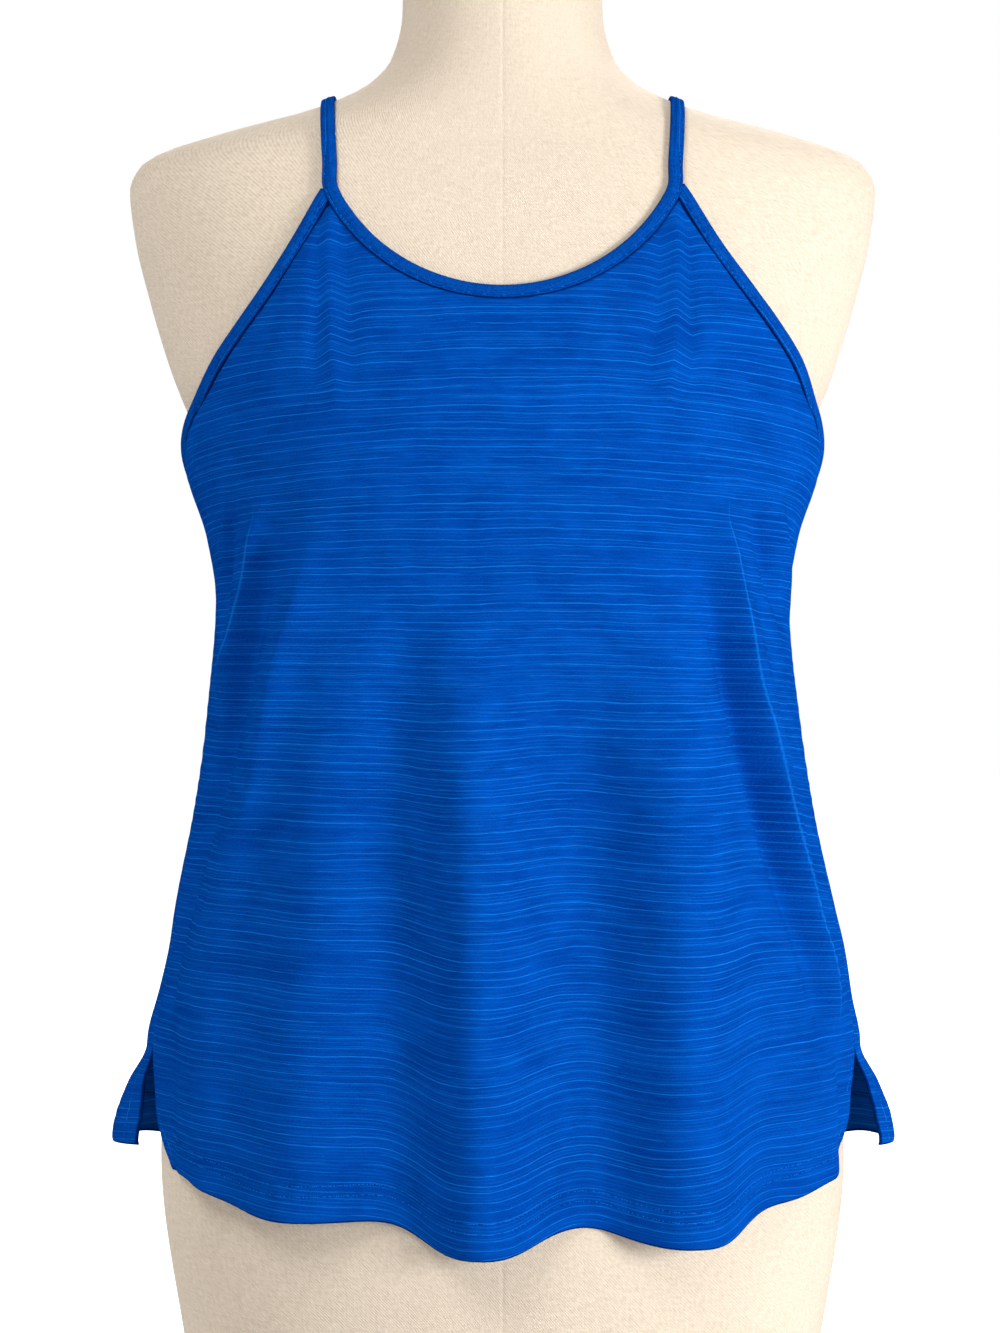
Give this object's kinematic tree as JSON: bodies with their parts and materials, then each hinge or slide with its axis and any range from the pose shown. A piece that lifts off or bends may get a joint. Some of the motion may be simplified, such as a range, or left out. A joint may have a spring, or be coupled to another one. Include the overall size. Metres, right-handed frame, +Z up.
{
  "type": "running singlet on a dress form",
  "caption": "Sleeveless A-line running singlet with a scoop neck, thin shoulder straps and open side vents, worn on a limbless dress form that stands on its flat base.",
  "frame": {"origin": "the surface that the dress form stands on, under the middle of its flat base", "axes": "+Z up, -Y out of the front of the chest, +X to the wearer's left"},
  "size_m": [0.4238, 0.2737, 0.815],
  "materials": {
    "jersey": "matte slub jersey",
    "binding": "matte jersey strip",
    "form_cover": "matte woven cover"
  },
  "bodies": {
    "root": {"front_panel": "jersey", "back_panel": "jersey", "neck_binding": "binding", "armhole_binding_left": "binding", "armhole_binding_right": "binding", "dress_form": "form_cover"}
  },
  "joints": []
}
